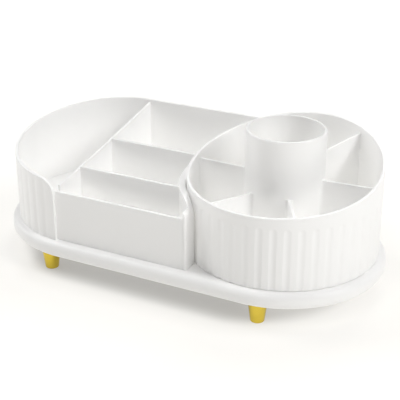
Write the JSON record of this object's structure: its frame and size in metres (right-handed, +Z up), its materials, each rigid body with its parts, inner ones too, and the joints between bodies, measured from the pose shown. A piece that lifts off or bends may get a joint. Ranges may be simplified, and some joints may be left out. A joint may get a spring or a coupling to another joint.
{
  "type": "makeup organizer",
  "caption": "Low white makeup organizer: an open bin with dividers and a turning, divided cup with a brush tube, on a rounded tray with small gold feet.",
  "frame": {"origin": "on the table below the middle of the tray", "axes": "+X runs from the fixed bin to the turning cup, -Y is the front, +Z is up"},
  "size_m": [0.3214, 0.162, 0.127],
  "materials": {
    "white_plastic": "satin white moulded plastic",
    "gold_feet": "polished gold-coloured plating",
    "steel": "bright steel",
    "race_plastic": "plain grey moulded plastic"
  },
  "bodies": {
    "tray": {"tray_shell": "white_plastic", "base_cover": "white_plastic", "cover_screws": "steel", "foot_front_left": "gold_feet", "foot_front_right": "gold_feet", "foot_rear_left": "gold_feet", "foot_rear_right": "gold_feet", "foot_studs": "steel", "bin_shell": "white_plastic", "bin_screws": "steel", "front_panel": "white_plastic", "long_divider": "white_plastic", "rear_partition": "white_plastic", "front_partition": "white_plastic", "spindle": "steel", "lower_race": "race_plastic", "lower_race_screws": "steel", "spindle_washer": "steel", "spindle_screw": "steel"},
    "cage": {"ball_cage": "race_plastic", "race_balls": "steel"},
    "cup": {"upper_race": "race_plastic", "upper_race_screws": "steel", "cup_shell": "white_plastic", "brush_tube": "white_plastic", "cup_divider_right": "white_plastic", "cup_divider_rear_right": "white_plastic", "cup_divider_rear_left": "white_plastic", "cup_divider_left": "white_plastic", "cup_divider_front_left": "white_plastic", "cup_divider_front_right": "white_plastic"}
  },
  "joints": [
    {"name": "cup_spin", "type": "hinge", "parent": "tray", "child": "cup", "pos_m": [0.07975, 0, 0], "axis": [0, 0, 1], "continuous": true},
    {"name": "cage_spin", "type": "hinge", "parent": "tray", "child": "cage", "pos_m": [0.07975, 0, 0], "axis": [0, 0, 1], "continuous": true}
  ],
  "couplings": [
    {"joint": "cage_spin", "follows": "cup_spin", "ratio": 0.5}
  ]
}
